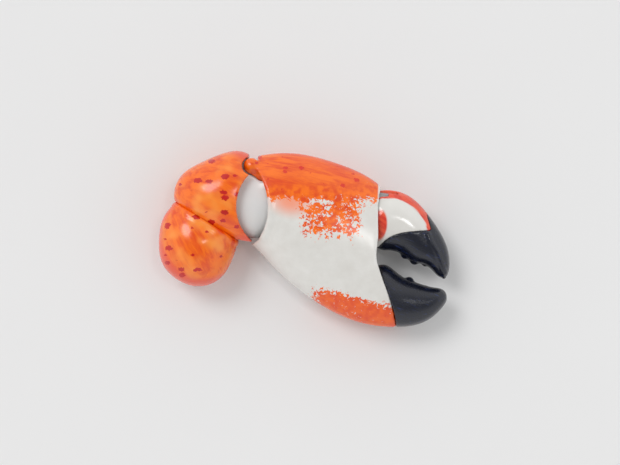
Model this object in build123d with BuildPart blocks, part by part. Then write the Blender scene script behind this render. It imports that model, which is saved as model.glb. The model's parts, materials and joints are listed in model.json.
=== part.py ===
from build123d import *
import os
from math import atan2, cos, degrees, hypot, radians, sin, sqrt

# Lobster cracker shaped as a crab's claw. A steel compound-lever mechanism is
# covered by glazed porcelain shells. Pulling the arm away from the palm opens
# the upper finger through a crossed link; squeezing the arm back closes it.
# Units are millimetres. +Z is up from the table, X runs from arm to finger tips.

# ---- heights of the stack ---------------------------------------------------
MID = 18.0  # the mechanism's middle plane, above the table
LEVER_HALF = 2.5  # half thickness of the arm lever and of the finger's tang
LINK_IN, LINK_OUT = 2.7, 4.7  # a link plate's faces, from the middle plane
FRAME_IN, FRAME_OUT = 4.9, 6.9  # a frame plate's faces, from the middle plane
PIN_HEAD, PIN_HEAD_R = 1.0, 3.8  # a pivot pin's head: thickness and radius
ROOF = FRAME_OUT + PIN_HEAD + 0.3  # where porcelain may start over a pivot
FAR = 60.0  # beyond the whole object, for cutters

# ---- porcelain --------------------------------------------------------------
WALL = 2.4
PALM_DOWN = 20.0  # depth of the palm's ovals, which the table plane cuts flat
FLOOR = 2.0  # extra thickness of the floor, which leaves a flat rest face
CARPUS_UP, CARPUS_DOWN = 21.0, 17.0
MERUS_UP, MERUS_DOWN = 19.5, 20.0
BALL_UP, BALL_DOWN, BALL_WALL = 13.8, 12.8, 2.0
BALL_REACH, BALL_CROWN = 40.6, 20.0  # from the wrist pin to its edge and crown
KNUCKLE_R = 4.7  # the palm's domed cap over the wrist pin
NECK_END, NECK_WIDE, NECK_HIGH = (-23.0, 37.0), 8.4, 2.2  # and its neck to the palm
COLLAR_R, COLLAR_IN, COLLAR_OUT = 9.0, 7.2, 9.4  # the ball's flat collar round it
DOME_RADIUS, DOME_HALF = 17.2, 12.6  # the finger's round base
SOCKET_GAP = 0.9  # between that base and the palm
BOSS_R = 3.9

# ---- pivots and the link ----------------------------------------------------
WRIST = (-29.6, 41.2)
JAW = (47.4, 10.8)
ARM_TRAVEL, FINGER_TRAVEL = 40.0, 30.0  # degrees of opening
JAW_CRANK = 11.0
ARM_CRANK = JAW_CRANK * sin(radians(FINGER_TRAVEL / 2)) / sin(radians(ARM_TRAVEL / 2))
PIVOT_R, LINK_PIN_R, SCREW_R, RIVET_R = 2.5, 2.0, 1.5, 2.0
WRIST_EYE, JAW_EYE, LINK_EYE = 4.1, 6.0, 3.6
RUNNING = 0.05  # radial clearance of a turning fit


def polar(centre, radius, angle):
    """The point at a radius and an angle, in degrees, about a centre."""
    return (centre[0] + radius * cos(radians(angle)), centre[1] + radius * sin(radians(angle)))


def turned(point, centre, angle):
    """A point turned about a centre, anticlockwise from above."""
    radius = hypot(point[0] - centre[0], point[1] - centre[1])
    start = degrees(atan2(point[1] - centre[1], point[0] - centre[0]))
    return polar(centre, radius, start + angle)


# The link crosses the line between the pivots. Halfway through the travel both
# cranks stand square to it, which keeps the ratio of the two angles constant.
pivot_gap = hypot(JAW[0] - WRIST[0], JAW[1] - WRIST[1])
crank_sum = ARM_CRANK + JAW_CRANK
pivot_line = degrees(atan2(JAW[1] - WRIST[1], JAW[0] - WRIST[0]))
link_middle = pivot_line + degrees(atan2(crank_sum, sqrt(pivot_gap**2 - crank_sum**2)))
ARM_PIN = polar(WRIST, ARM_CRANK, link_middle - 90 + ARM_TRAVEL / 2)
JAW_PIN = polar(JAW, JAW_CRANK, link_middle + 90 - FINGER_TRAVEL / 2)
link_rest = degrees(atan2(JAW_PIN[1] - ARM_PIN[1], JAW_PIN[0] - ARM_PIN[0]))
# Between its two ends of travel the finger's link pin drifts across the link by
# this much, so the link's eye there is a short slot.
drift = JAW_CRANK * (1 - cos(radians(FINGER_TRAVEL / 2)))
drift += ARM_CRANK * (1 - cos(radians(ARM_TRAVEL / 2)))
SLOT_CENTRE = polar(JAW_PIN, drift / 2, link_rest + 90)

# ---- fasteners: (x, y, height of the seat under the screw's head) -----------
PALM_SCREWS = [(-8.0, 4.0, 4.0), (16.0, -25.0, 6.0), (0.0, 37.4, 9.0)]
ARM_SCREWS = [(-49.0, 40.6, 11.0), (-64.5, 27.5, 11.0), (-64.0, 3.0, 4.5), (-60.0, -14.0, 5.0)]
RIVETS = [(30.0, -18.5), (35.0, -34.0)]
SCALE_RIVETS = [(61.5, 8.6), (59.5, 17.0)]
STOP_PIN, STOP_PIN_R = (-41.5, 35.2), 1.5
HEAD_R, HEAD_HIGH = 2.8, 2.2
INSERT_R, INSERT_LONG = 2.1, 4.0


# ---- builders of outer shapes -----------------------------------------------
def oval(plane, half_width, up, down):
    """An egg-shaped section: two half ellipses of the same width."""
    with BuildSketch(plane) as section:
        with BuildLine():
            EllipticalCenterArc((0, 0), half_width, up, 0, arc_size=180)
            EllipticalCenterArc((0, 0), half_width, down, 180, arc_size=180)
        make_face()
    return section.sketch


def crosswise(stations, wall=0.0, floor=0.0):
    """A loft through upright sections square to X: (x, low y, high y, up, down)."""
    with BuildPart() as body:
        for x, low, high, up, down in stations:
            middle = (x, (low + high) / 2, MID)
            plane = Plane(origin=middle, x_dir=(0, 1, 0), z_dir=(1, 0, 0))
            add(oval(plane, (high - low) / 2 - wall, up - wall, down - wall - floor))
        loft()
    return body.part


def fanned(rings, wall=0.0):
    """A loft through upright sections that fan out: (outer, inner, half height)."""
    with BuildPart() as body:
        for outer, inner, half in rings:
            across = Vector(outer[0] - inner[0], outer[1] - inner[1], 0)
            middle = ((outer[0] + inner[0]) / 2, (outer[1] + inner[1]) / 2, MID)
            plane = Plane(origin=middle, x_dir=across, z_dir=across.cross(Vector(0, 0, 1)))
            add(oval(plane, across.length / 2 - wall, half - wall, half - wall))
        loft()
    return body.part


def lobe(outline, centre, up, down, shrink=1.0):
    """A pillow over a closed outline: level sections that shrink to its centre."""
    rise = [0.36, 0.64, 0.85, 0.96, 0.998]
    levels = [(-down * share, share) for share in reversed(rise)]
    levels += [(up * share, share) for share in [0.0] + rise]
    with BuildPart() as body:
        for height, share in levels:
            size = shrink * sqrt(1 - share**2)
            with BuildSketch(Plane.XY.offset(MID + height)):
                with BuildLine():
                    Spline(
                        *[
                            (centre[0] + size * (x - centre[0]), centre[1] + size * (y - centre[1]))
                            for x, y in outline
                        ],
                        periodic=True,
                    )
                make_face()
        loft()
    return body.part


def disc(centre, radius, low, high):
    """A round bar that stands upright between two heights."""
    with BuildPart() as bar:
        with BuildSketch(Plane.XY.offset(low)):
            with Locations(centre[:2]):
                Circle(radius)
        extrude(amount=high - low)
    return bar.part


def prism(points, low, high, smooth=()):
    """An upright block over a polygon, whose last side may be a smooth curve."""
    with BuildPart() as block:
        with BuildSketch(Plane.XY.offset(low)):
            with BuildLine():
                if smooth:
                    Spline(*smooth)
                    Polyline(smooth[-1], *points, smooth[0])
                else:
                    Polyline(*points, close=True)
            make_face()
        extrude(amount=high - low)
    return block.part


def bars(points, width, low, high):
    """A flat bar along a chain of points, with round ends and corners."""
    with BuildPart() as bar:
        with BuildSketch(Plane.XY.offset(low)):
            for start, end in zip(points, points[1:]):
                middle = ((start[0] + end[0]) / 2, (start[1] + end[1]) / 2)
                along = degrees(atan2(end[1] - start[1], end[0] - start[0]))
                with Locations(Location(middle + (0,), (0, 0, along))):
                    SlotCenterToCenter(hypot(end[0] - start[0], end[1] - start[1]), width)
        extrude(amount=high - low)
    return bar.part


def within(part, limit):
    """The piece of a part that lies inside another."""
    with BuildPart() as piece:
        add(part)
        add(limit, mode=Mode.INTERSECT)
    return piece.part


def half_space(upper, level=MID):
    """Everything above, or below, a level."""
    low, high = (level, level + FAR) if upper else (level - FAR, level)
    return disc((0, 0), 300, low, high)


def mirrored(part):
    """The same piece on the other side of the middle plane."""
    return part.mirror(Plane.XY.offset(MID))


# ---- palm shells ------------------------------------------------------------
PALM_STATIONS = [
    (-38, 0.0, 44.5, 14.0, 15.5),
    (-28, -4.4, 46.9, 17.5, 18.5),
    (-16, -17.2, 48.7, 19.0, PALM_DOWN),
    (0, -31.0, 48.0, 19.6, PALM_DOWN),
    (16, -41.0, 43.9, 19.4, PALM_DOWN),
    (30, -46.8, 38.6, 18.6, PALM_DOWN),
    (42, -49.3, 31.2, 17.4, 18.0),
    (55, -49.2, 16.0, 13.5, 14.0),
]
# The edge beyond which the wrist ball shows, from the wrist pin downwards.
PROXIMAL = [(-26.4, 38.2), (-22.6, 32.0), (-20.0, 22.0), (-20.4, 11.0), (-24.0, 2.0), (-31.4, -3.4)]
# The far edge: the rim over the finger, then the line where the navy jaw starts.
RIM = [(44.2, 33.0), (42.2, 22.0), (41.3, 9.0), (41.3, 0.0), (40.4, -8.0), (41.0, -13.5)]
NAVY_LINE = [(41.0, -13.5), (44.6, -24.0), (49.2, -37.0), (52.2, -51.0)]
GAP_POST = [(34.0, -13.8), (42.0, -13.8), (42.0, -4.0), (34.0, -4.0)]

palm_outer = crosswise(PALM_STATIONS)
palm_cavity = crosswise(PALM_STATIONS, WALL, FLOOR)


def palm_plan():
    """The part of the plan that the palm's shells cover, as a tall block."""
    with BuildPart() as block:
        with BuildSketch(Plane.XY.offset(-5)):
            with BuildLine():
                Spline(*PROXIMAL)
                Polyline(PROXIMAL[-1], (-46, -14), (-46, -FAR), (52.2, -FAR), NAVY_LINE[-1])
                Spline(*NAVY_LINE)
                Spline(*RIM)
                Polyline(RIM[0], (RIM[0][0], FAR), (-23.0, FAR), (-26.4, 46.2), PROXIMAL[0])
            make_face()
        extrude(amount=FAR)
    return block.part


def finger_socket():
    """The room that the finger's round base turns in."""
    with BuildPart() as room:
        with BuildSketch(Plane(origin=JAW + (MID,), x_dir=(1, 0, 0), z_dir=(0, -1, 0))):
            Ellipse(DOME_RADIUS + SOCKET_GAP, DOME_HALF + SOCKET_GAP)
            with Locations((-FAR / 2, 0)):
                Rectangle(FAR, FAR, mode=Mode.SUBTRACT)
        revolve(axis=Axis(JAW + (MID,), (0, 0, 1)))
    return room.part


def knuckle(side):
    """The domed cap over the wrist pin, with a neck to the palm."""
    seat = MID + side * ROOF
    low, high = sorted((seat, seat + side * NECK_HIGH))
    with BuildPart() as cap:
        with Locations(Location(WRIST + (seat,), (0, 0, 180))):
            Sphere(KNUCKLE_R)
        add(half_space(side > 0, seat), mode=Mode.INTERSECT)
        add(bars([WRIST, NECK_END], NECK_WIDE, low, high))
    return cap.part


def palm_cover(upper):
    """One of the palm's shells, with screw bosses and the cap over the wrist pin."""
    side = 1 if upper else -1
    near, far = MID + side * FRAME_OUT, MID + side * FAR
    with BuildPart() as cover:
        add(palm_outer)
        add(palm_plan(), mode=Mode.INTERSECT)
        add(palm_cavity, mode=Mode.SUBTRACT)
        for place in PALM_SCREWS:
            add(within(disc(place, BOSS_R, min(near, far), max(near, far)), palm_outer))
        add(knuckle(side))
        add(within(within(prism(GAP_POST, 0, FAR), palm_outer), palm_plan()))
        add(finger_socket(), mode=Mode.SUBTRACT)
        for radius, reach in ((WRIST_EYE + 0.3, FRAME_OUT + 0.2), (PIN_HEAD_R + 0.3, ROOF - 0.1)):
            add(disc(WRIST, radius, MID - reach, MID + reach), mode=Mode.SUBTRACT)
        add(half_space(not upper), mode=Mode.SUBTRACT)
        add(half_space(False, 0.0), mode=Mode.SUBTRACT)
        for place in PALM_SCREWS:
            if upper:
                add(disc(place, INSERT_R, near, near + INSERT_LONG), mode=Mode.SUBTRACT)
            else:
                add(disc(place, SCREW_R + 0.2, -1, near), mode=Mode.SUBTRACT)
                add(disc(place, HEAD_R + 0.2, -1, place[2]), mode=Mode.SUBTRACT)
    return cover.part


palm_cover_upper = palm_cover(True)
palm_cover_lower = palm_cover(False)

# ---- wrist ball -------------------------------------------------------------
RIM_CENTRE, RIM_RADIUS = (-11.1, 18.2), 26.4  # the arm's rim, seen from above


def wrist_ball(upper):
    """Half of the round cheek that the arm's rim slides over as it swings away."""
    side = 1 if upper else -1
    width, height = BALL_REACH - BALL_CROWN, BALL_UP if upper else BALL_DOWN
    hub, collar = KNUCKLE_R + 0.4, (COLLAR_OUT - COLLAR_IN) / 2
    far_edge = turned(RIM_CENTRE, WRIST, -ARM_TRAVEL - 3)
    neck_room = sorted((MID + side * (ROOF - 0.3), MID + side * FAR))
    with BuildPart() as ball:
        with BuildSketch(Plane(origin=WRIST + (MID,), x_dir=(1, 0, 0), z_dir=(0, -1, 0))):
            with Locations((BALL_CROWN, 0)):
                Ellipse(width, height)
                Ellipse(width - BALL_WALL, height - BALL_WALL, mode=Mode.SUBTRACT)
            with Locations((0, side * (COLLAR_IN - FAR / 2))):
                Rectangle(2 * COLLAR_R, FAR, mode=Mode.SUBTRACT)
            with Locations((COLLAR_R / 2, side * (COLLAR_IN + collar))):
                Rectangle(COLLAR_R, 2 * collar)
            with Locations((BALL_CROWN, -side * FAR / 2), (hub - FAR / 2, 0)):
                Rectangle(FAR, FAR, mode=Mode.SUBTRACT)
        revolve(axis=Axis(WRIST + (MID,), (0, 0, 1)))
        add(disc(far_edge, RIM_RADIUS, -5, FAR), mode=Mode.INTERSECT)
        add(prism([(-15, -20), (-15, 50), (20, 50), (20, -20)], -5, FAR), mode=Mode.SUBTRACT)
        add(bars([WRIST, NECK_END], NECK_WIDE + 0.6, *neck_room), mode=Mode.SUBTRACT)
    return ball.part


wrist_ball_upper = wrist_ball(True)
wrist_ball_lower = wrist_ball(False)

# ---- steel frame ------------------------------------------------------------
FRAME_PLAN = [(-24, 35.5), (0, 39), (26, 22), (29, 3), (29, -10)]
FRAME_PLAN += [(36, -18), (37, -34), (30, -38), (12, -27), (-10, -1)]


def frame_plate():
    """The upper side plate, which joins the two pivots and the fixed jaw."""
    low, high = MID + FRAME_IN, MID + FRAME_OUT
    with BuildPart() as plate:
        add(prism(FRAME_PLAN, low, high))
        add(bars([(-24, 35.5), WRIST, STOP_PIN], 2 * WRIST_EYE, low, high))
        add(bars([(24, 8), JAW], 2 * JAW_EYE, low, high))
        for place in PALM_SCREWS:
            add(disc(place, 4.2, low, high))
        for place in RIVETS:
            add(disc(place, 4.5, low, high))
        for place in (WRIST, JAW):
            add(disc(place, PIVOT_R, low, high), mode=Mode.SUBTRACT)
        for place in RIVETS:
            add(disc(place, RIVET_R, low, high), mode=Mode.SUBTRACT)
        for place in PALM_SCREWS:
            add(disc(place, SCREW_R + 0.2, low, high), mode=Mode.SUBTRACT)
        add(disc(STOP_PIN, STOP_PIN_R, low, high), mode=Mode.SUBTRACT)
    return plate.part


frame_plate_upper = frame_plate()
frame_plate_lower = mirrored(frame_plate_upper)

# ---- fixed jaw --------------------------------------------------------------
FIXED_STATIONS = [
    (38, -49.4, -12.0, 15.0, 16.0),
    (45, -49.75, -14.3, 14.6, 15.4),
    (51, -49.5, -17.6, 13.2, 14.0),
    (58, -49.4, -22.4, 11.8, 12.6),
    (65, -48.0, -25.0, 10.6, 11.4),
    (71, -45.2, -26.8, 9.4, 10.0),
    (76, -41.0, -27.6, 7.8, 8.2),
    (79.4, -37.0, -29.2, 5.0, 5.2),
    (80.6, -34.6, -31.4, 2.4, 2.4),
]
FIXED_TEETH = [(53.2, -22.4, 2.2), (59.3, -24.2, 2.6), (68.5, -28.4, 2.0)]
JAW_TANG = [(27, -13), (38, -15.5), (46, -22), (49, -36), (46, -40), (33, -40), (25, -24)]


def fixed_jaw_body():
    """The navy lower jaw, with a tang that the frame plates clamp."""
    with BuildPart() as jaw:
        add(crosswise(FIXED_STATIONS))
        for x, y, radius in FIXED_TEETH:
            with Locations((x, y, MID)):
                Sphere(radius + 0.4)
        add(palm_plan(), mode=Mode.SUBTRACT)
        add(within(prism(JAW_TANG, MID - FRAME_IN, MID + FRAME_IN), palm_outer))
        for place in RIVETS:
            add(disc(place, RIVET_R, 0, FAR), mode=Mode.SUBTRACT)
    return jaw.part


fixed_jaw = fixed_jaw_body()

# ---- upper finger -----------------------------------------------------------
BASE_RINGS = [-16.4, -13.0, -8.0, -3.0]  # offsets of the round base's rings from the pin
CLAW_RINGS = [
    ((52.0, 27.3), (46.8, -6.3), 12.4),
    ((63.0, 21.8), (52.6, -7.3), 11.9),
    ((71.0, 12.8), (57.0, -10.2), 11.2),
    ((77.0, 3.9), (62.2, -13.2), 10.2),
    ((80.9, -4.4), (67.8, -14.4), 9.0),
    ((82.3, -12.4), (72.6, -17.8), 7.2),
    ((81.7, -18.6), (76.2, -21.2), 4.6),
    ((80.4, -22.0), (78.2, -22.9), 2.0),
]
FINGER_TEETH = [(57.4, -8.6, 2.4), (62.6, -11.6, 2.6), (68.6, -13.2, 2.0)]
# The line where the navy tip meets the porcelain scales.
TIP_LINE = [(34.0, -12.0), (40.8, -5.8), (46.2, -0.1), (52.3, 2.9), (60.3, 4.3), (71.4, 5.1)]


def base_ring(offset):
    """A ring of the round base: (outer point, inner point, half height)."""
    half_width = sqrt(DOME_RADIUS**2 - offset**2)
    x = JAW[0] + offset
    height = DOME_HALF * half_width / DOME_RADIUS
    return (x, JAW[1] + half_width), (x, JAW[1] - half_width), height


def tip_side(low, high):
    """The navy side of the tip line, as an upright block."""
    beyond = [(70.2, 9.6), (68.4, 15.6), (72, 30), (110, 30), (110, -FAR), (34, -FAR)]
    return prism(beyond, low, high, smooth=TIP_LINE)


base_rings = [base_ring(offset) for offset in BASE_RINGS]
finger_shape = fanned(base_rings + CLAW_RINGS)
finger_hollow = fanned(base_rings[1:] + CLAW_RINGS[:4], WALL)


def cheek(low, high):
    """The room of one porcelain scale, beside the tang and behind the tip line."""
    with BuildPart() as room:
        add(disc(JAW, FAR, low, high))
        add(tip_side(low - 5, high + 5), mode=Mode.SUBTRACT)
    return room.part


def moving_jaw_body():
    """The navy upper jaw, with the tang that carries both pins."""
    with BuildPart() as jaw:
        add(finger_shape)
        for x, y, radius in FINGER_TEETH:
            with Locations((x, y, MID)):
                Sphere(radius + 0.4)
        add(cheek(MID + LEVER_HALF, FAR), mode=Mode.SUBTRACT)
        add(cheek(-5, MID - LEVER_HALF), mode=Mode.SUBTRACT)
        add(disc(JAW, PIVOT_R + RUNNING, 0, FAR), mode=Mode.SUBTRACT)
        add(disc(JAW_PIN, LINK_PIN_R, 0, FAR), mode=Mode.SUBTRACT)
        for place in SCALE_RIVETS:
            add(disc(place, SCREW_R, 0, FAR), mode=Mode.SUBTRACT)
    return jaw.part


moving_jaw = moving_jaw_body()


def finger_scale():
    """The upper porcelain scale over the tang, hollow around the frame and link."""
    base = MID + LEVER_HALF
    neck = [polar(JAW, 40, angle) for angle in (90, 115, 140, 165, 190, 215, 236)]
    with BuildPart() as scale:
        add(finger_shape)
        add(finger_hollow, mode=Mode.SUBTRACT)
        for place in SCALE_RIVETS:
            add(within(disc(place, 3.4, base, FAR), finger_shape))
        add(tip_side(-5, FAR), mode=Mode.SUBTRACT)
        add(half_space(False, base), mode=Mode.SUBTRACT)
        add(prism([JAW] + neck, base, MID + FRAME_OUT + 0.4), mode=Mode.SUBTRACT)
        add(disc(JAW, JAW_EYE + 0.4, base, MID + FRAME_OUT + 0.4), mode=Mode.SUBTRACT)
        for angle in (link_rest + 180, link_rest + 180 - FINGER_TRAVEL):
            along = [JAW_PIN, polar(JAW_PIN, 30, angle)]
            width = 2 * LINK_EYE + drift + 0.8
            add(bars(along, width, base, MID + LINK_OUT + 0.4), mode=Mode.SUBTRACT)
        for place in SCALE_RIVETS:
            add(disc(place, SCREW_R, base, base + 4.0), mode=Mode.SUBTRACT)
    return scale.part


finger_scale_upper = finger_scale()
finger_scale_lower = mirrored(finger_scale_upper)

# ---- link plates ------------------------------------------------------------


def link_plate():
    """The upper link plate. Its far eye is slotted across the link."""
    low, high = MID + LINK_IN, MID + LINK_OUT
    with BuildPart() as plate:
        add(bars([ARM_PIN, SLOT_CENTRE], 2 * LINK_EYE, low, high))
        add(disc(ARM_PIN, LINK_PIN_R + RUNNING, low, high), mode=Mode.SUBTRACT)
        with BuildSketch(Plane.XY.offset(low)):
            with Locations(Location(SLOT_CENTRE + (0,), (0, 0, link_rest + 90))):
                SlotCenterToCenter(drift, 2 * (LINK_PIN_R + RUNNING))
        extrude(amount=high - low, mode=Mode.SUBTRACT)
    return plate.part


link_plate_upper = link_plate()
link_plate_lower = mirrored(link_plate_upper)

# ---- arm --------------------------------------------------------------------
CARPUS_OUTLINE = [
    (-31.5, 48.4), (-37.0, 50.0), (-46.0, 48.6), (-58.4, 43.4), (-69.2, 36.4), (-73.6, 26.4),
    (-70.5, 13.5), (-57.0, 2.5), (-43.0, -2.2), (-28.0, -2.6), (-15.0, 5.0), (-11.0, 21.0),
    (-16.0, 38.0), (-24.0, 46.0),
]
CARPUS_CENTRE = (-46.0, 24.0)
MERUS_OUTLINE = [
    (-72.0, 20.8), (-79.6, 12.4), (-82.3, -1.0), (-80.0, -14.4), (-71.4, -23.2), (-59.0, -26.8),
    (-47.0, -21.8), (-40.8, -12.0), (-38.0, -3.0), (-38.5, 5.0), (-46.0, 13.0), (-60.0, 21.0),
]
MERUS_CENTRE = (-60.0, -3.0)
CREASE = [(-90.0, 31.1), (-38.2, -0.4)]  # the line where the two segments meet
ARM_LINE = [WRIST, (-47.0, 41.0), (-59.0, 36.0), (-64.5, 27.5), (-64.5, 3.0), (-60.0, -14.0)]
NOTCH_X, RIM_END_X = -30.9, -29.2  # where the carpus stops, above and below the pin

arm_covers = {
    "carpus": (
        lobe(CARPUS_OUTLINE, CARPUS_CENTRE, CARPUS_UP, CARPUS_DOWN),
        lobe(CARPUS_OUTLINE, CARPUS_CENTRE, CARPUS_UP - WALL, CARPUS_DOWN - WALL, 0.91),
        [(NOTCH_X, FAR), (NOTCH_X, 43), (RIM_END_X, 43), (RIM_END_X, -1.6)]
        + [(CREASE[1][0], CREASE[1][1] + 0.2), (CREASE[0][0], CREASE[0][1] + 0.2), (-90, FAR)],
        ARM_SCREWS[:2],
    ),
    "merus": (
        lobe(MERUS_OUTLINE, MERUS_CENTRE, MERUS_UP, MERUS_DOWN),
        lobe(MERUS_OUTLINE, MERUS_CENTRE, MERUS_UP - WALL, MERUS_DOWN - WALL - FLOOR, 0.89),
        CREASE + [(-34.0, -2.8), (-34.0, -FAR), (-90.0, -FAR)],
        ARM_SCREWS[2:],
    ),
}


def arm_cover(segment, upper):
    """A shell of one arm segment, with its bosses down to the arm lever."""
    outer, cavity, keep, screws = arm_covers[segment]
    near = MID + (LEVER_HALF if upper else -LEVER_HALF)
    far = FAR if upper else -5
    with BuildPart() as cover:
        add(outer)
        add(cavity, mode=Mode.SUBTRACT)
        for place in screws:
            add(within(disc(place, BOSS_R, min(near, far), max(near, far)), outer))
        add(prism(keep, -5, FAR), mode=Mode.INTERSECT)
        add(half_space(not upper), mode=Mode.SUBTRACT)
        add(half_space(False, 0.0), mode=Mode.SUBTRACT)
        if segment == "carpus":
            add(disc(RIM_CENTRE, RIM_RADIUS, -5, FAR), mode=Mode.SUBTRACT)
            add(disc(WRIST, KNUCKLE_R + 0.4, -5, FAR), mode=Mode.SUBTRACT)
        for place in screws:
            if upper:
                add(disc(place, INSERT_R, near, near + INSERT_LONG), mode=Mode.SUBTRACT)
            else:
                add(disc(place, SCREW_R + 0.2, -1, near), mode=Mode.SUBTRACT)
                add(disc(place, HEAD_R + 0.2, -1, place[2]), mode=Mode.SUBTRACT)
    return cover.part


def arm_lever_body():
    """The steel handle lever, with the short crank that drives the link."""
    low, high = MID - LEVER_HALF, MID + LEVER_HALF
    with BuildPart() as lever:
        add(bars(ARM_LINE, 8.0, low, high))
        add(disc(WRIST, WRIST_EYE, low, high))
        add(bars([WRIST, ARM_PIN], 2 * LINK_EYE, low, high))
        add(disc(WRIST, PIVOT_R + RUNNING, low, high), mode=Mode.SUBTRACT)
        add(disc(ARM_PIN, LINK_PIN_R, low, high), mode=Mode.SUBTRACT)
        for place in ARM_SCREWS:
            add(disc(place, SCREW_R + 0.2, low, high), mode=Mode.SUBTRACT)
    return lever.part


arm_lever = arm_lever_body()

# ---- pins, washers and fasteners --------------------------------------------


def pivot_pin(place):
    """A pivot pin pressed through both frame plates, with a thin head each side."""
    with BuildPart() as pin:
        add(disc(place, PIVOT_R, MID - FRAME_OUT, MID + FRAME_OUT))
        add(disc(place, PIN_HEAD_R, MID + FRAME_OUT, MID + FRAME_OUT + PIN_HEAD))
        add(disc(place, PIN_HEAD_R, MID - FRAME_OUT - PIN_HEAD, MID - FRAME_OUT))
    return pin.part


def ring(place, outer, inner, low, high):
    """A washer or a tube."""
    with BuildPart() as tube:
        add(disc(place, outer, low, high))
        add(disc(place, inner, low, high), mode=Mode.SUBTRACT)
    return tube.part


def washers(place, outer):
    """The two washers that fill the gaps between a lever and the frame plates."""
    gap = (MID + LEVER_HALF + 0.05, MID + FRAME_IN - 0.05)
    washer = ring(place, outer, PIVOT_R + RUNNING, *gap)
    return Compound(children=[washer, mirrored(washer)])


def screw(place, low, high):
    """A flat-headed screw that goes in from below."""
    with BuildPart() as body:
        add(disc(place, SCREW_R, low, high))
        add(disc(place, HEAD_R, place[2] - HEAD_HIGH, place[2]))
        with Locations((place[0], place[1], place[2] - HEAD_HIGH)):
            Cylinder(1.2, 2.4, mode=Mode.SUBTRACT)
    return body.part


def rivet(place, radius, half, head):
    """A rivet with a low head on each side."""
    with BuildPart() as body:
        add(disc(place, radius, MID - half, MID + half))
        if head:
            add(disc(place, radius + 1.2, MID + half, MID + half + head))
            add(disc(place, radius + 1.2, MID - half - head, MID - half))
    return body.part


insert_base = MID + FRAME_OUT
lever_top = MID + LEVER_HALF
pieces = {
    "palm_cover_upper": palm_cover_upper,
    "palm_cover_lower": palm_cover_lower,
    "wrist_ball_upper": wrist_ball_upper,
    "wrist_ball_lower": wrist_ball_lower,
    "frame_plate_upper": frame_plate_upper,
    "frame_plate_lower": frame_plate_lower,
    "fixed_jaw": fixed_jaw,
    "moving_jaw": moving_jaw,
    "finger_scale_upper": finger_scale_upper,
    "finger_scale_lower": finger_scale_lower,
    "link_plate_upper": link_plate_upper,
    "link_plate_lower": link_plate_lower,
    "arm_lever": arm_lever,
    "carpus_cover_upper": arm_cover("carpus", True),
    "carpus_cover_lower": arm_cover("carpus", False),
    "merus_cover_upper": arm_cover("merus", True),
    "merus_cover_lower": arm_cover("merus", False),
    "wrist_pivot_pin": pivot_pin(WRIST),
    "jaw_pivot_pin": pivot_pin(JAW),
    "stop_pin": disc(STOP_PIN, STOP_PIN_R, MID - FRAME_OUT, MID + FRAME_OUT),
    "arm_link_pin": disc(ARM_PIN, LINK_PIN_R, MID - LINK_OUT, MID + LINK_OUT),
    "finger_link_pin": disc(JAW_PIN, LINK_PIN_R, MID - LINK_OUT, MID + LINK_OUT),
    "wrist_washers": washers(WRIST, 3.9),
    "jaw_washers": washers(JAW, 6.0),
    "frame_rivets": Compound(children=[rivet(p, RIVET_R, FRAME_OUT, 0.9) for p in RIVETS]),
    "frame_spacers": Compound(
        children=[
            ring(p, 3.2, SCREW_R + 0.2, MID - FRAME_IN, MID + FRAME_IN) for p in PALM_SCREWS
        ]
    ),
    "palm_screws": Compound(
        children=[screw(p, p[2], insert_base + INSERT_LONG) for p in PALM_SCREWS]
    ),
    "palm_inserts": Compound(
        children=[
            ring(p, INSERT_R, SCREW_R, insert_base, insert_base + INSERT_LONG)
            for p in PALM_SCREWS
        ]
    ),
    "arm_screws": Compound(
        children=[screw(p, p[2], lever_top + INSERT_LONG) for p in ARM_SCREWS]
    ),
    "arm_inserts": Compound(
        children=[
            ring(p, INSERT_R, SCREW_R, lever_top, lever_top + INSERT_LONG) for p in ARM_SCREWS
        ]
    ),
    "scale_rivets": Compound(
        children=[rivet(p, SCREW_R, LEVER_HALF + 4.0, 0) for p in SCALE_RIVETS]
    ),
}

os.makedirs("parts", exist_ok=True)
for name, piece in pieces.items():
    piece.label = name
    export_step(piece, f"parts/{name}.step")

print("wrist pin", WRIST, "jaw pin", JAW)
print("arm crank", round(ARM_CRANK, 3), "link pins", ARM_PIN, JAW_PIN, "link at", round(link_rest, 3))
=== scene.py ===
# %% [markdown]
# # A lobster cracker shaped as a crab's claw
# The claw is glazed porcelain over a steel lever mechanism. The mechanism comes
# packed from the CAD model, and this lesson gives it its visible skin: shells with
# edges worn round by the glaze, and paint that is laid on by brush and by sponge.

# %% The frame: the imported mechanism
import json
from math import radians

import bpy
import mathutils
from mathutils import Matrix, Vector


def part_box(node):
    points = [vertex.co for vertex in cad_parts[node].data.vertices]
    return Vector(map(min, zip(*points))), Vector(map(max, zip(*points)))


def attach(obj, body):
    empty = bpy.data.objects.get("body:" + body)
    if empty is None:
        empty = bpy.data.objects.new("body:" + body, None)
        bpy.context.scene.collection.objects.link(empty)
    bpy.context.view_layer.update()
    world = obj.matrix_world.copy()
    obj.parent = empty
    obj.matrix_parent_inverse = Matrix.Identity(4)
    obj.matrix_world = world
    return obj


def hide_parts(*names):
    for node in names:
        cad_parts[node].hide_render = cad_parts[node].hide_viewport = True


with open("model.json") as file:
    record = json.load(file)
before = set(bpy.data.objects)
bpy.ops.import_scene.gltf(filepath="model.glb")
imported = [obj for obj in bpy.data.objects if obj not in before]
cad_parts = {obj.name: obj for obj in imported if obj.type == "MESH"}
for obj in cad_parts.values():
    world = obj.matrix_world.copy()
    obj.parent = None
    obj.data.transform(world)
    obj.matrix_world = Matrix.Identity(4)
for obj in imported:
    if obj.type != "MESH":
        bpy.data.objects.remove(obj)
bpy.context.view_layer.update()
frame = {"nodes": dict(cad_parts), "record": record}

MM = 0.001  # the lesson's sizes are in millimetres
record = frame["record"]
joints = {joint["name"]: joint for joint in record["behaviour"]["joints"]}
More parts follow.
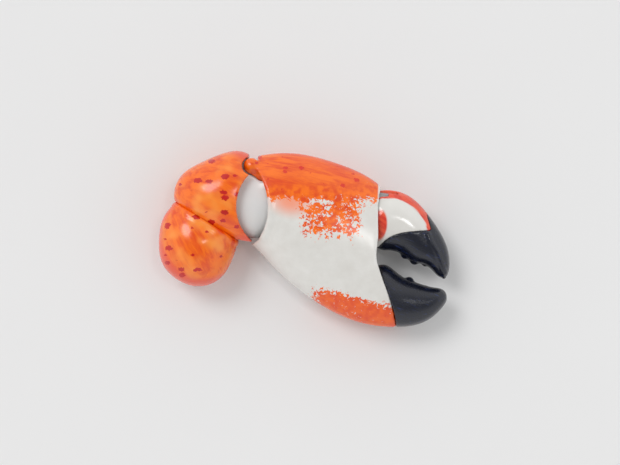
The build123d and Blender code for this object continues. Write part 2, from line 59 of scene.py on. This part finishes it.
MIDDLE = joints["arm_hinge"]["pos_m"][2] / MM  # height of the mechanism's middle plane

# %% [markdown]
# ## Selecting
# An operator in Blender acts on all that is selected, and the frame arrives with its
# nodes selected. So every step starts by selecting one object and nothing else.


# %% Select one object
def select_only(thing):
    """Makes one object the selected and the active one."""
    bpy.ops.object.select_all(action="DESELECT")
    thing.select_set(True)
    bpy.context.view_layer.objects.active = thing


def apply_modifier(piece, kind, **settings):
    """Adds a modifier, sets it up, and applies it to the mesh."""
    select_only(piece)
    modifier = piece.modifiers.new(kind.lower(), kind)
    for name, value in settings.items():
        setattr(modifier, name, value)
    bpy.ops.object.modifier_apply(modifier=modifier.name)


# %% [markdown]
# ## A shell cast from its core
# A porcelain shell is cast in a mould, and glaze runs over every edge, so nothing on
# it is sharp. A modeller could bevel each edge by hand, but the edges here are where
# two curved surfaces meet, and a bevel breaks on them. Casting works better: a copy of
# the CAD shell is merged and remeshed in even small faces, and then smoothed. The even
# faces let the edges go round by themselves, as a fired glaze does.


# %% Cast a shell
def weigh(piece, name, weight):
    """A vertex group whose weight at each point comes from a function of (x, y, z) in mm."""
    group = piece.vertex_groups.new(name=name)
    for vertex in piece.data.vertices:
        x, y, z = vertex.co / MM
        group.add([vertex.index], min(1.0, max(0.0, weight(x, y, z))), "REPLACE")
    return name


def away_from_seam(x, y, z):
    """Nothing at the seam between an upper and a lower shell, and 1 a little way off it."""
    return (abs(z - MIDDLE) - 0.3) / 1.2


def cast(node, name, grain=0.6, rounds=10, body=None, weight=away_from_seam):
    """A new shell over a CAD node's shape, with its edges worn round."""
    mesh = frame["nodes"][node].data.copy()
    mesh.materials.clear()
    piece = bpy.data.objects.new(name, mesh)
    bpy.context.scene.collection.objects.link(piece)
    select_only(piece)
    bpy.ops.object.mode_set(mode="EDIT")
    bpy.ops.mesh.select_all(action="SELECT")
    bpy.ops.mesh.remove_doubles(threshold=0.002 * MM)
    bpy.ops.object.mode_set(mode="OBJECT")
    apply_modifier(piece, "REMESH", mode="VOXEL", voxel_size=grain * MM)
    apply_modifier(piece, "SMOOTH", factor=0.5, iterations=3)
    group = weigh(piece, "rounding", weight)
    apply_modifier(piece, "SMOOTH", factor=0.5, iterations=rounds, vertex_group=group)
    bpy.ops.object.shade_smooth()
    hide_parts(node)
    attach(piece, body)
    print(name, "faces", len(piece.data.polygons))
    return piece


# %% [markdown]
# ## Raising and sinking the surface
# A potter pushes ridges and dents into the soft clay. Weight painting and a Displace
# modifier do the same: the weights say where, and the modifier says how far.


# %% Raise a part of a surface
def raise_where(piece, height, weight, direction="NORMAL"):
    """Moves the surface by a height in mm where the weight is 1, and fades with it."""
    group = weigh(piece, "raised", weight)
    apply_modifier(
        piece, "DISPLACE", strength=height * MM, mid_level=0.0, direction=direction,
        vertex_group=group,
    )
    piece.vertex_groups.clear()


def bump(distance, reach):
    """A soft hill: 1 at no distance, and 0 from the reach on."""
    share = min(1.0, abs(distance) / reach)
    return (1 - share * share) ** 2


def beside(x, y, points):
    """How far a point of the plan is from a line through some points, in mm."""
    nearest = 1e9
    for (ax, ay), (bx, by) in zip(points, points[1:]):
        run = (bx - ax) ** 2 + (by - ay) ** 2
        share = min(1.0, max(0.0, ((x - ax) * (bx - ax) + (y - ay) * (by - ay)) / run))
        gap = ((x - ax - share * (bx - ax)) ** 2 + (y - ay - share * (by - ay)) ** 2) ** 0.5
        nearest = min(nearest, gap)
    return nearest


# %% [markdown]
# ## The arm
# The arm is two lobes, each of an upper and a lower shell. They ride on the arm's
# body, so they swing with it.

# %% The arm's shells
carpus_upper = cast("carpus_cover_upper", "carpus_upper", body="arm")
carpus_lower = cast("carpus_cover_lower", "carpus_lower", body="arm")
merus_upper = cast("merus_cover_upper", "merus_upper", body="arm")
merus_lower = cast("merus_cover_lower", "merus_lower", body="arm")

# %% [markdown]
# ## The crease
# Where the lobes meet, the merus rises in a low lip and the carpus dips a little. Both
# also lean towards each other, which keeps the groove between them shut.

# %% A lip along the crease between the arm's two lobes
CREASE = [(-72.0, 20.4), (-38.2, -0.4)]  # its two ends, in plan
LIP, DIP, LEAN = 0.9, -0.5, 0.35  # heights in mm
for piece in (merus_upper, merus_lower):
    raise_where(piece, LIP, lambda x, y, z: bump(beside(x, y, CREASE) - 1.6, 2.6))
    raise_where(piece, LEAN, lambda x, y, z: bump(beside(x, y, CREASE), 1.5), "Y")
for piece in (carpus_upper, carpus_lower):
    raise_where(piece, DIP, lambda x, y, z: bump(beside(x, y, CREASE), 3.2))
    raise_where(piece, -LEAN, lambda x, y, z: bump(beside(x, y, CREASE), 1.5), "Y")
print("crease raised on", merus_upper.name, merus_lower.name)

# %% [markdown]
# ## The palm and the wrist ball
# The palm is the large body that everything else turns on. The plain white ball sits
# under its edge, where the arm's rim slides over it.

# %% The palm's shells and the wrist ball
palm_upper = cast("palm_cover_upper", "palm_upper", grain=0.7, body="palm")
palm_lower = cast("palm_cover_lower", "palm_lower", grain=0.7, body="palm")
ball_upper = cast("wrist_ball_upper", "ball_upper", body="palm")
ball_lower = cast("wrist_ball_lower", "ball_lower", body="palm")

# %% A soft ridge where the palm starts beside the wrist
PALM_EDGE = [(-24.5, 34.0), (-21.0, 29.0), (-18.6, 20.0), (-19.0, 11.0), (-23.0, 1.5)]
RIDGE, RIDGE_REACH = 0.6, 3.4
raise_where(palm_upper, RIDGE, lambda x, y, z: bump(beside(x, y, PALM_EDGE), RIDGE_REACH))
print("ridge", RIDGE, "mm high beside the wrist")

# %% [markdown]
# ## The jaws
# The upper finger has two porcelain scales over a navy jaw, and the lower jaw is one
# navy piece. The scales keep their sharp edge where they lie on the finger's tang.

# %% The jaws
TANG_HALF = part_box("finger_scale_upper")[0][2] / MM - MIDDLE


def away_from_tang(x, y, z):
    """Nothing where a scale lies on the finger's tang, and 1 a little way off it."""
    return (abs(z - MIDDLE) - TANG_HALF - 0.3) / 1.2


def anywhere(x, y, z):
    """The same weight all over."""
    return 1.0


finger_upper = cast("finger_scale_upper", "finger_upper", 0.5, 10, "finger", away_from_tang)
finger_lower = cast("finger_scale_lower", "finger_lower", 0.5, 10, "finger", away_from_tang)
upper_jaw = cast("moving_jaw", "upper_jaw", 0.5, 8, "finger", anywhere)
lower_jaw = cast("fixed_jaw", "lower_jaw", 0.5, 8, "palm", anywhere)

# %% [markdown]
# ## The keel
# A low keel runs along the upper jaw to its tip, and catches the light there.

# %% The keel along the upper jaw
KEEL = [(69.5, 3.0), (71.2, -1.6), (74.6, -7.3), (76.8, -12.9), (79.1, -18.8)]
KEEL_HEIGHT, KEEL_REACH, FLANK = 0.8, 2.4, 3  # the jaw's outer flank has no keel


def on_keel(x, y, z):
    """The keel's weight, which leaves out the flank beside the middle plane."""
    return bump(beside(x, y, KEEL), KEEL_REACH) * (abs(z - MIDDLE) > FLANK)


raise_where(upper_jaw, KEEL_HEIGHT, on_keel)
print("keel", KEEL_HEIGHT, "mm high")


# %% [markdown]
# ## Materials in nodes
# Every finish is a node tree. Two small helpers keep the trees readable: one adds a
# node with its inputs, which may be numbers or another node's output, and one turns
# a colour as a painter's chart gives it, 0 to 255, into the linear values of Blender.


# %% Node helpers
def colour(red, green, blue):
    """A linear colour from a chart colour of 0 to 255."""
    shares = [value / 255 for value in (red, green, blue)]
    linear = [s / 12.92 if s < 0.04045 else ((s + 0.055) / 1.055) ** 2.4 for s in shares]
    return (*linear, 1.0)


def add_node(tree, kind, inputs=None, **settings):
    """A node of a kind, with its settings, and inputs that are values or sockets."""
    node = tree.nodes.new("ShaderNode" + kind)
    for name, value in settings.items():
        setattr(node, name, value)
    for name, value in (inputs or {}).items():
        if isinstance(value, bpy.types.NodeSocket):
            tree.links.new(value, node.inputs[name])
        else:
            node.inputs[name].default_value = value
    return node


def maths(tree, operation, first, second=0.0, third=0.0):
    """The result of a sum on up to three values or sockets."""
    node = add_node(tree, "Math", {0: first, 1: second, 2: third}, operation=operation)
    return node.outputs[0]


def mix(tree, mask, under, over):
    """The colour over another one where the mask is 1."""
    node = add_node(tree, "Mix", {0: mask, 6: under, 7: over}, data_type="RGBA")
    return node.outputs[2]


def ramp(tree, value, start, end, low=0.0, high=1.0):
    """A soft step from low to high while the value goes from start to end."""
    inputs = {"Value": value, "From Min": start, "From Max": end, "To Min": low, "To Max": high}
    return add_node(tree, "MapRange", inputs, interpolation_type="SMOOTHSTEP").outputs[0]


def noise(tree, vector, scale, detail=2.0, roughness=0.5, distortion=0.0):
    """A cloudy value between 0 and 1, with its scale in features per mm."""
    inputs = {
        "Vector": vector, "Scale": scale, "Detail": detail,
        "Roughness": roughness, "Distortion": distortion,
    }
    return add_node(tree, "TexNoise", inputs).outputs[0]


# %% Groups: a helper to build one
def new_group(name, inputs, outputs):
    """An empty shader group with named sockets. Returns (tree, its inputs, its output node)."""
    tree = bpy.data.node_groups.new(name, "ShaderNodeTree")
    for label, (kind, value) in inputs.items():
        socket = tree.interface.new_socket(label, in_out="INPUT", socket_type="NodeSocket" + kind)
        if value is not None:
            socket.default_value = value
    for label, kind in outputs.items():
        tree.interface.new_socket(label, in_out="OUTPUT", socket_type="NodeSocket" + kind)
    entry = tree.nodes.new("NodeGroupInput")
    leave = tree.nodes.new("NodeGroupOutput")
    return tree, entry.outputs, leave


def use_group(tree, group, inputs):
    """Places a group in a material and returns its outputs."""
    node = add_node(tree, "Group")
    node.node_tree = group
    for name, value in inputs.items():
        if isinstance(value, bpy.types.NodeSocket):
            tree.links.new(value, node.inputs[name])
        else:
            node.inputs[name].default_value = value
    return node.outputs


# %% [markdown]
# ## Patches of paint
# A painter thinks in patches: a place, a direction, a length and a width, and how
# softly it ends. The patch group measures how deep a point lies in such an oval.

# %% The patch group
patch_group, sockets, leave = new_group(
    "paint_patch",
    {
        "Place": ("Vector", None), "Centre": ("Vector", (0, 0, 0)), "Turn": ("Float", 0.0),
        "Size": ("Vector", (10, 10, 1000)), "Softness": ("Float", 0.3),
    },
    {"Mask": "Float"},
)
offset = add_node(
    patch_group, "VectorMath", {0: sockets["Place"], 1: sockets["Centre"]}, operation="SUBTRACT"
)
spin = add_node(
    patch_group, "VectorRotate", {"Vector": offset.outputs[0], "Angle": sockets["Turn"]},
    rotation_type="Z_AXIS",
)
share = add_node(
    patch_group, "VectorMath", {0: spin.outputs[0], 1: sockets["Size"]}, operation="DIVIDE"
)
depth = add_node(patch_group, "VectorMath", {0: share.outputs[0]}, operation="LENGTH")
inside = maths(patch_group, "SUBTRACT", 1.0, depth.outputs["Value"])
mask = maths(patch_group, "DIVIDE", inside, sockets["Softness"])
patch_group.links.new(ramp(patch_group, mask, 0.0, 1.0), leave.inputs["Mask"])


THROUGH = 1000  # a patch goes right through the piece, so its height doesn't matter


def patch(tree, place, x, y, turn, length, width, softness):
    """An oval patch of paint: its centre, turn in degrees, half length and half width."""
    values = {
        "Place": place, "Centre": (x, y, MIDDLE), "Turn": radians(-turn),
        "Size": (length, width, THROUGH), "Softness": softness,
    }
    return use_group(tree, patch_group, values)["Mask"]


print("group", patch_group.name)


# %% [markdown]
# ## Sponged paint
# Sponging leaves blotches of a millimetre or two with bare specks between them, and
# the harder the sponge is pressed, the more of it prints. So the group takes a density
# and lets a fine noise show only where it rises over what the density leaves bare.

# %% The sponge group
sponge_group, sockets, leave = new_group(
    "sponge_print",
    {"Place": ("Vector", None), "Density": ("Float", 0.5), "Scale": ("Float", 0.55)},
    {"Print": "Float"},
)
blotches = noise(sponge_group, sockets["Place"], sockets["Scale"], 3.0, 0.6, 0.9)
bare = ramp(sponge_group, sockets["Density"], 0.0, 1.0, 0.80, 0.22)
edge = maths(sponge_group, "SUBTRACT", blotches, bare)
sponge_group.links.new(ramp(sponge_group, edge, 0.01, 0.06), leave.inputs["Print"])
print("group", sponge_group.name)


# %% [markdown]
# ## Spots
# The arm and the palm carry small dark red dabs. A cell pattern gives each cell a
# centre, and a dab sits round some of them: noise pushes its edge out of round, and
# a second value per cell decides how large it is, and whether it is there at all.

# %% The spots group
spots_group, sockets, leave = new_group(
    "red_dabs",
    {"Place": ("Vector", None), "Spacing": ("Float", 0.12), "Largest": ("Float", 0.9)},
    {"Mask": "Float"},
)
wobble = add_node(
    spots_group, "TexNoise", {"Vector": sockets["Place"], "Scale": 0.9, "Detail": 2.0}
)
pushed = add_node(
    spots_group, "VectorMath",
    {0: wobble.outputs["Color"], 1: (2.6, 1.8, 1.8), 2: sockets["Place"]},
    operation="MULTIPLY_ADD",
)
flat = add_node(
    spots_group, "VectorMath", {0: pushed.outputs[0], 1: (0.8, 1.25, 0)}, operation="MULTIPLY"
)
cells = add_node(
    spots_group, "TexVoronoi", {"Vector": flat.outputs[0], "Scale": sockets["Spacing"]},
    voronoi_dimensions="2D",
)
lot = add_node(spots_group, "SeparateColor", {"Color": cells.outputs["Color"]})
size = ramp(spots_group, lot.outputs[0], 0.35, 1.0, 0.0, 1.0)
size = maths(spots_group, "MULTIPLY", size, sockets["Largest"])
size = maths(spots_group, "MULTIPLY", size, sockets["Spacing"])
near = maths(spots_group, "SUBTRACT", size, cells.outputs["Distance"])
spots_group.links.new(ramp(spots_group, near, -0.01, 0.04), leave.inputs["Mask"])
print("group", spots_group.name)

# %% [markdown]
# ## Brushed colour
# Enamel goes on with a soft brush, and each stroke is a little thicker or thinner.
# Noise stretched along the stroke's direction gives streaks of two strengths.

# %% The brush group
brush_group, sockets, leave = new_group(
    "brush_strokes",
    {"Place": ("Vector", None), "Turn": ("Float", 0.0), "Fineness": ("Float", 0.5)},
    {"Streaks": "Float"},
)
spin = add_node(
    brush_group, "VectorRotate", {"Vector": sockets["Place"], "Angle": sockets["Turn"]},
    rotation_type="Z_AXIS",
)
stretched = add_node(
    brush_group, "VectorMath", {0: spin.outputs[0], 1: (0.16, 1.0, 1.0)}, operation="MULTIPLY"
)
streaks = noise(brush_group, stretched.outputs[0], sockets["Fineness"], 4.0, 0.6, 0.3)
brush_group.links.new(streaks, leave.inputs["Streaks"])
print("group", brush_group.name)

# %% [markdown]
# ## The glaze itself
# Under gloss, a hand-finished surface is never quite even: it has broad dimples from
# the fingers and a faint orange peel. This group gives the height for a Bump node and
# a roughness that changes a little with it.

# %% The glaze group
glaze_group, sockets, leave = new_group(
    "glaze_surface",
    {"Place": ("Vector", None), "Gloss": ("Float", 0.1)},
    {"Height": "Float", "Roughness": "Float"},
)
dimples = noise(glaze_group, sockets["Place"], 0.07, 2.0, 0.5)
peel = noise(glaze_group, sockets["Place"], 0.5, 2.0, 0.5)
fine = maths(glaze_group, "MULTIPLY", peel, 0.05)
glaze_group.links.new(maths(glaze_group, "ADD", dimples, fine), leave.inputs["Height"])
patchy = ramp(glaze_group, peel, 0.3, 0.7, -0.02, 0.04)
roughness = maths(glaze_group, "ADD", patchy, sockets["Gloss"])
glaze_group.links.new(roughness, leave.inputs["Roughness"])
print("group", glaze_group.name)


# %% [markdown]
# ## A glazed material
# Every glaze starts from the place on the piece in millimetres, so the paint stays
# where it was put when a joint moves. It ends in one Principled shader: the paint, the
# glaze's dents and a thin clear coat.

# %% A material's start and end
def start_material(name):
    """A new material: (material, its node tree, the place on the piece in mm)."""
    material = bpy.data.materials.new(name)
    material.use_nodes = True
    tree = material.node_tree
    tree.nodes.clear()
    where = add_node(tree, "TexCoord").outputs["Object"]
    place = add_node(tree, "VectorMath", {0: where, 1: (1 / MM,) * 3}, operation="MULTIPLY")
    return material, tree, place.outputs[0]


def finish_glaze(tree, place, paint, gloss=0.1, relief=None, depth_mm=0.25):
    """Puts a painted colour under a glossy glaze."""
    surface = use_group(tree, glaze_group, {"Place": place, "Gloss": gloss})
    height = surface["Height"]
    if relief is not None:
        height = maths(tree, "ADD", height, relief)
    dented = add_node(
        tree, "Bump", {"Height": height, "Strength": 0.6, "Distance": depth_mm * MM}
    ).outputs[0]
    shader = add_node(
        tree, "BsdfPrincipled",
        {
            "Base Color": paint, "Roughness": surface["Roughness"], "Normal": dented,
            "IOR": 1.5, "Coat Weight": 0.25, "Coat Roughness": 0.15, "Coat IOR": 1.5,
        },
    )
    add_node(tree, "OutputMaterial", {"Surface": shader.outputs[0]})


# %% The painter's colours
WHITE = colour(232, 231, 227)
WARM_SHADE = colour(214, 211, 205)
ORANGE = colour(252, 116, 8)
DEEP_ORANGE = colour(228, 72, 8)
LIGHT_ORANGE = colour(254, 150, 58)
CORAL = colour(236, 88, 58)
RED = colour(216, 24, 12)
DARK_RED = colour(176, 12, 12)
PINK = colour(246, 160, 132)
NAVY = colour(16, 20, 34)
# a painted highlight for the ridges of the navy's brush strokes
STREAK_HIGHLIGHT_BLUE = colour(34, 50, 100)
STROKE_RED = colour(214, 58, 44)
PEARL = colour(222, 224, 226)
print("the orange in linear values", [round(value, 3) for value in ORANGE[:3]])

# %% [markdown]
# ## Orange glaze for the arm
# Carpus and merus are painted all over. The orange is warm in the middle and deeper in
# brush strokes. Towards the outline it turns coral, a painted sheen that stands for the
# glaze reflecting the bright room at the edges. Red dabs lie on top. The underside,
# which nobody sees, stays nearly white.


# %% The arm's glaze
def arm_glaze(name, x, y, turn, length, width, spot_shift):
    """Orange paint for one lobe, whose outline is roughly the given oval."""
    material, tree, place = start_material(name)
    strokes = use_group(
        tree, brush_group, {"Place": place, "Turn": radians(-turn), "Fineness": 0.22}
    )["Streaks"]
    # painted sheen: this oval is 1 in the lobe's middle and falls off towards the outline
    middle = patch(tree, place, x, y, turn, length, width, 0.3)
    middle = ramp(tree, maths(tree, "MULTIPLY_ADD", strokes, 0.5, middle), 0.2, 1.0)
    paint = mix(tree, ramp(tree, strokes, 0.38, 0.68), ORANGE, DEEP_ORANGE)
    paint = mix(tree, ramp(tree, noise(tree, place, 0.07), 0.48, 0.75), paint, LIGHT_ORANGE)
    # coral is painted in at the outline as the glaze's reflected sheen
    paint = mix(tree, middle, CORAL, paint)
    shifted = add_node(tree, "VectorMath", {0: place, 1: spot_shift}, operation="ADD").outputs[0]
    dabs = use_group(
        tree, spots_group, {"Place": shifted, "Spacing": 0.16, "Largest": 2.0}
    )["Mask"]
    shade = mix(tree, noise(tree, place, 0.1), RED, DARK_RED)
    paint = mix(tree, dabs, paint, shade)
    height = add_node(tree, "SeparateXYZ", {"Vector": place}).outputs["Z"]
    ragged = maths(tree, "MULTIPLY_ADD", strokes, 5.0, height)
    bare = ramp(tree, ragged, 9.0, 6.0)
    paint = mix(tree, bare, paint, WHITE)
    finish_glaze(tree, place, paint, gloss=0.2)
    return material


carpus_glaze = arm_glaze("carpus_glaze", -50, 24, -25, 31, 29, (3.0, 5.0, 0.0))
merus_glaze = arm_glaze("merus_glaze", -57, 1, -60, 27, 25, (11.0, 2.0, 0.0))
print("materials", carpus_glaze.name, merus_glaze.name)

# %% [markdown]
# ## The palm's glaze
# The palm is the showpiece: solid orange along its back, which a sponge carries down
# to the middle in loose prints, a pink blush beside the wrist, bare white below, and
# a second sponged band along the lower edge.

# %% The palm's glaze: where the paint lies
palm_glaze, tree, place = start_material("palm_glaze")
axes = add_node(tree, "SeparateXYZ", {"Vector": place}).outputs
along, across, height = axes["X"], axes["Y"], axes["Z"]
strokes = use_group(
    tree, brush_group, {"Place": place, "Turn": radians(12), "Fineness": 0.3}
)["Streaks"]
# the back: above a level line, and right of a slanting one beside the wrist
above = maths(tree, "SUBTRACT", across, 27.0)
slant = maths(tree, "MULTIPLY_ADD", along, 0.9, across)
slant = maths(tree, "SUBTRACT", slant, 10.5)
above = maths(tree, "SMOOTH_MIN", above, slant, 2.0)
above = maths(tree, "MULTIPLY_ADD", strokes, 8.0, above)
cloud = noise(tree, place, 0.16, 3.0, 0.6)
above = maths(tree, "MULTIPLY_ADD", cloud, 6.0, above)
back = ramp(tree, above, -7.0, 9.0)
# the sponged field under it, and the speckles towards the rim
field = maths(tree, "MULTIPLY", ramp(tree, along, -13, 3), ramp(tree, along, 41, 28))
field = maths(tree, "MULTIPLY", field, ramp(tree, across, -11, 7))
speckle = patch(tree, place, 34, 21, -20, 12, 9, 0.8)
pressed = maths(tree, "MULTIPLY_ADD", cloud, 0.7, 0.27)
density = maths(tree, "MULTIPLY", field, pressed)
density = maths(tree, "MAXIMUM", density, maths(tree, "MULTIPLY", speckle, 0.46))
density = maths(tree, "MAXIMUM", density, back)
# the lower band hugs the outline and is densest near the navy jaw
below = maths(tree, "MULTIPLY_ADD", along, -0.27, -20.0)
below = maths(tree, "SUBTRACT", below, across)
below = maths(tree, "MULTIPLY_ADD", cloud, 5.0, below)
band = ramp(tree, below, -1.0, 12.0, 0.0, 0.8)
band = maths(tree, "MULTIPLY", band, ramp(tree, along, -9, 14))
density = maths(tree, "MAXIMUM", density, band)
prints = use_group(tree, sponge_group, {"Place": place, "Density": density, "Scale": 0.55})
print("palm: masks of", palm_glaze.name)

# %% The palm's glaze: its colours
blush = patch(tree, place, -8, 21, -14, 17, 11, 0.9)
thin = mix(tree, ramp(tree, noise(tree, place, 0.25), 0.35, 0.7), ORANGE, DEEP_ORANGE)
paint = mix(tree, cloud, WHITE, WARM_SHADE)
paint = mix(tree, maths(tree, "MULTIPLY", blush, 1.0), paint, PINK)
thin = mix(tree, maths(tree, "MULTIPLY", band, 0.6), thin, DEEP_ORANGE)
paint = mix(tree, prints["Print"], paint, thin)
solid = mix(tree, ramp(tree, strokes, 0.38, 0.66), ORANGE, DEEP_ORANGE)
edge_red = ramp(tree, maths(tree, "MULTIPLY_ADD", along, 0.32, across), 38, 48)
solid = mix(tree, maths(tree, "MULTIPLY", edge_red, 0.4), solid, CORAL)
paint = mix(tree, ramp(tree, above, 7.0, 14.0), paint, solid)
dabs = use_group(
    tree, spots_group, {"Place": place, "Spacing": 0.16, "Largest": 1.5}
)["Mask"]
dabs = maths(tree, "MULTIPLY", dabs, ramp(tree, above, 4.0, 9.0))
paint = mix(tree, maths(tree, "MULTIPLY", dabs, 0.85), paint, RED)
# bare rim over the finger, and a bare underside
rim = ramp(tree, maths(tree, "MULTIPLY_ADD", across, -0.07, along), 39.2, 40.2)
rim = maths(tree, "MULTIPLY", rim, ramp(tree, across, -16, -12))
under = ramp(tree, maths(tree, "MULTIPLY_ADD", strokes, 4.0, height), 10.0, 6.0)
paint = mix(tree, maths(tree, "MAXIMUM", rim, under), paint, WHITE)
finish_glaze(tree, place, paint, gloss=0.22)
print("palm:", len(tree.nodes), "nodes")

# %% [markdown]
# ## The white ball and the finger
# The ball is bare white with a pearly cloud in it. The finger is white too, with a red
# stroke that follows its outer edge, and a red comma beside the palm's rim.

# %% The wrist ball's glaze
ball_glaze, tree, place = start_material("ball_glaze")
paint = mix(tree, noise(tree, place, 0.08), WHITE, PEARL)
finish_glaze(tree, place, paint, gloss=0.2)
print("material", ball_glaze.name)

# %% The finger's glaze
finger_glaze, tree, place = start_material("finger_glaze")
strokes = use_group(
    tree, brush_group, {"Place": place, "Turn": radians(35), "Fineness": 0.5}
)["Streaks"]
# the outer edge is nearly a circle in plan, so the stroke lies outside a smaller circle
ARC_CENTRE, ARC_START, ARC_FULL = (47.0, 0.5, 0), 22.9, 23.9
plan = add_node(tree, "VectorMath", {0: place, 1: (1, 1, 0)}, operation="MULTIPLY").outputs[0]
radius = add_node(
    tree, "VectorMath", {0: plan, 1: ARC_CENTRE}, operation="DISTANCE"
).outputs["Value"]
ragged = maths(tree, "MULTIPLY_ADD", strokes, 1.6, radius)
stripe = ramp(tree, ragged, ARC_START, ARC_FULL)
comma = patch(tree, place, 42.5, 8.0, 86, 9.5, 4.4, 0.25)
paint = mix(tree, noise(tree, place, 0.08), WHITE, WARM_SHADE)
stroke_colour = mix(tree, ramp(tree, strokes, 0.4, 0.65), CORAL, STROKE_RED)
paint = mix(tree, stripe, paint, stroke_colour)
paint = mix(tree, comma, paint, stroke_colour)
finish_glaze(tree, place, paint, gloss=0.1)
print("material", finger_glaze.name)

# %% [markdown]
# ## Navy enamel
# The jaws are nearly black, with brush streaks that stand up a little. The bluish
# colour on the streaks is a painted highlight on their ridges. The edge of the finger's
# tang shows between its two scales, and wears their coral stroke.

# %% The navy enamel
navy_enamel, tree, place = start_material("navy_enamel")
strokes = use_group(
    tree, brush_group, {"Place": place, "Turn": radians(25), "Fineness": 0.9}
)["Streaks"]
# painted highlight: the bluish colour lies on the ridges of the brush strokes
paint = mix(tree, ramp(tree, strokes, 0.55, 0.8), NAVY, STREAK_HIGHLIGHT_BLUE)
axes = add_node(tree, "SeparateXYZ", {"Vector": place}).outputs
tang = ramp(tree, maths(tree, "MULTIPLY_ADD", axes["X"], -0.11, axes["Y"]), -1.8, -1.0)
tang = maths(tree, "MULTIPLY", tang, ramp(tree, axes["X"], 69.8, 69.0))
paint = mix(tree, tang, paint, CORAL)
finish_glaze(tree, place, paint, gloss=0.24, relief=strokes, depth_mm=0.2)
print("material", navy_enamel.name)

# %% [markdown]
# ## Metals
# The mechanism is steel, with turned pins and brass inserts. One recipe serves them
# all: fine lines that change both the tint and the roughness.


# %% Metals
def metal(name, tint, rough, scratch):
    """Metal with fine lines from the belt or the lathe."""
    material, tree, place = start_material(name)
    lines = use_group(
        tree, brush_group, {"Place": place, "Turn": 0.3, "Fineness": scratch}
    )["Streaks"]
    roughness = ramp(tree, lines, 0.3, 0.7, rough - 0.06, rough + 0.1)
    dull = tuple(value * 0.8 for value in tint[:3]) + (1.0,)
    paint = mix(tree, ramp(tree, lines, 0.4, 0.7), tint, dull)
    dented = add_node(
        tree, "Bump", {"Height": lines, "Strength": 0.3, "Distance": 0.05 * MM}
    ).outputs[0]
    shader = add_node(
        tree, "BsdfPrincipled",
        {"Base Color": paint, "Roughness": roughness, "Metallic": 1.0, "Normal": dented},
    )
    add_node(tree, "OutputMaterial", {"Surface": shader.outputs[0]})
    return material


brushed_steel = metal("brushed_steel", colour(190, 190, 192), 0.34, 2.2)
turned_steel = metal("turned_steel", colour(205, 205, 206), 0.24, 4.0)
turned_brass = metal("turned_brass", colour(214, 178, 106), 0.28, 4.0)
print("materials", brushed_steel.name, turned_steel.name, turned_brass.name)

# %% [markdown]
# ## Wearing the materials
# Each new piece gets its glaze. The nodes of the mechanism keep their shapes and get
# their metal.


# %% Put the materials on
def wear(material, slot, *things):
    """Gives pieces a material. The slot argument is not used."""
    for thing in things:
        thing.data.materials.clear()
        thing.data.materials.append(material)


wear(carpus_glaze, "orange_glaze", carpus_upper, carpus_lower)
wear(merus_glaze, "orange_glaze", merus_upper, merus_lower)
wear(palm_glaze, "orange_white_glaze", palm_upper, palm_lower)
wear(ball_glaze, "white_glaze", ball_upper, ball_lower)
wear(finger_glaze, "red_white_glaze", finger_upper, finger_lower)
wear(navy_enamel, "navy_enamel", upper_jaw, lower_jaw)

slots = {row["node"]: row["material_slot"] for row in record["subparts"]}
metals = {"brushed_steel": brushed_steel, "fastener_steel": turned_steel, "brass": turned_brass}
for name, thing in frame["nodes"].items():
    if slots[name] in metals:
        if not thing.material_slots:
            thing.data.materials.append(metals[slots[name]])
        for place_in_list in thing.material_slots:
            place_in_list.material = metals[slots[name]]
print("metal nodes", sum(slot in metals for slot in slots.values()))

# %% [markdown]
# ## The floor, the light and the camera
# The claw lies on a plain pale table under a bright room. A soft window high on the
# left gives the glaze its highlights and the claw its shadow, and the camera looks
# straight down.

# %% Floor
bpy.ops.object.select_all(action="DESELECT")
bpy.ops.mesh.primitive_plane_add(size=6.0, location=(0, 0, 0))
floor = bpy.context.object
floor.name = "floor"
floor_paint, tree, place = start_material("floor_paint")
shade = mix(tree, noise(tree, place, 0.01), colour(235, 235, 235), colour(233, 233, 233))
shader = add_node(tree, "BsdfPrincipled", {"Base Color": shade, "Roughness": 0.9})
add_node(tree, "OutputMaterial", {"Surface": shader.outputs[0]})
floor.data.materials.append(floor_paint)
print("floor", floor.name)


# %% Lights
def far_light(name, direction, strength, spread):
    """A light from far away: where it comes from, and how wide it looks in degrees."""
    light = bpy.data.lights.new(name, "SUN")
    light.energy = strength
    light.angle = radians(spread)
    thing = bpy.data.objects.new(name, light)
    bpy.context.scene.collection.objects.link(thing)
    thing.rotation_euler = mathutils.Vector(direction).to_track_quat("Z", "Y").to_euler()


far_light("window", (-0.42, 0.42, 0.8), 0.98, 26)
far_light("lamp", (0.28, 0.14, 0.95), 0.2, 10)

# %% The bright room, which is darker overhead, where the camera hangs
world = bpy.data.worlds.new("studio")
bpy.context.scene.world = world
world.use_nodes = True
sky = world.node_tree
direction = add_node(sky, "TexCoord").outputs["Generated"]
upward = add_node(sky, "SeparateXYZ", {"Vector": direction}).outputs["Z"]
glow = ramp(sky, upward, 0.55, 0.95, 0.93, 0.3)
sky.nodes["Background"].inputs["Color"].default_value = (1, 1, 1, 1)
sky.links.new(glow, sky.nodes["Background"].inputs["Strength"])
bpy.context.scene.view_settings.view_transform = "Standard"

# %% Camera
camera = bpy.data.objects.new("camera", bpy.data.cameras.new("camera"))
bpy.context.scene.collection.objects.link(camera)
VIEW_WIDTH = 351 * MM
camera.data.lens = 100
camera.data.sensor_width = 36
distance = VIEW_WIDTH * camera.data.lens / camera.data.sensor_width
camera.location = (3.3 * MM, 3.8 * MM, MIDDLE * MM + distance)
camera.data.clip_end = 20
bpy.context.scene.camera = camera
print("camera", round(distance, 3), "m over the claw")
